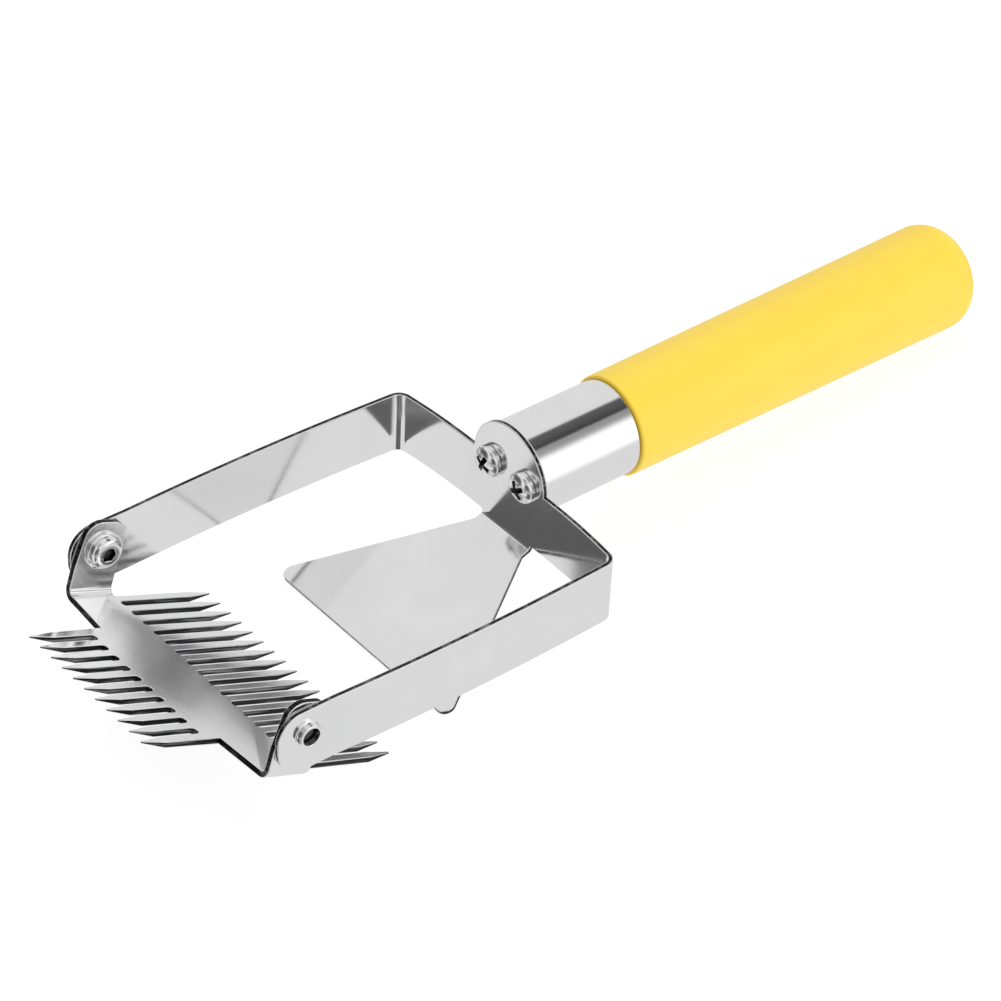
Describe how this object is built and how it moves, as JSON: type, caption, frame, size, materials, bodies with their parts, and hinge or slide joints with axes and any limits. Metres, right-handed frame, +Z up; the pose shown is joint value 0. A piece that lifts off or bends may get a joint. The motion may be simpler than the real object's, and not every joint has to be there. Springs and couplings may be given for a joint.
{
  "type": "uncapping fork",
  "caption": "Beekeeper's uncapping fork: a swinging double-sided plate of tines and a fixed scraper blade on a bent steel frame with a round grip.",
  "frame": {"origin": "centre of the underside of the tool's box, on the level surface that the blade's front edge and the butt both touch", "axes": "+X along the tool from the tines towards the butt, +Y towards the tool's left side, +Z up; the handle's axis slopes 6.1 degrees down towards +X"},
  "size_m": [0.3246, 0.1048, 0.0508],
  "materials": {
    "polished_sheet": "mirror-polished stainless sheet",
    "polished_fork": "mirror-polished stainless sheet with ground points",
    "ferrule_steel": "polished tube with fine lines round it",
    "screw_steel": "bright plated screws",
    "washer_steel": "bright flat washers",
    "core_wood": "bare turned wood",
    "grip_plastic": "smooth satin yellow moulding"
  },
  "bodies": {
    "frame": {"frame_bracket": "polished_sheet", "ferrule": "ferrule_steel", "handle_core": "core_wood", "grip": "grip_plastic", "pivot_screw_left": "screw_steel", "pivot_screw_right": "screw_steel", "pivot_washer_left": "washer_steel", "pivot_washer_right": "washer_steel", "handle_screw_left": "screw_steel", "handle_screw_right": "screw_steel"},
    "fork": {"fork_plate": "polished_fork"}
  },
  "joints": [
    {"name": "fork_tilt", "type": "hinge", "parent": "frame", "child": "fork", "pos_m": [-0.12462, 0, 0.04001], "axis": [0, 1, 0], "continuous": true}
  ]
}
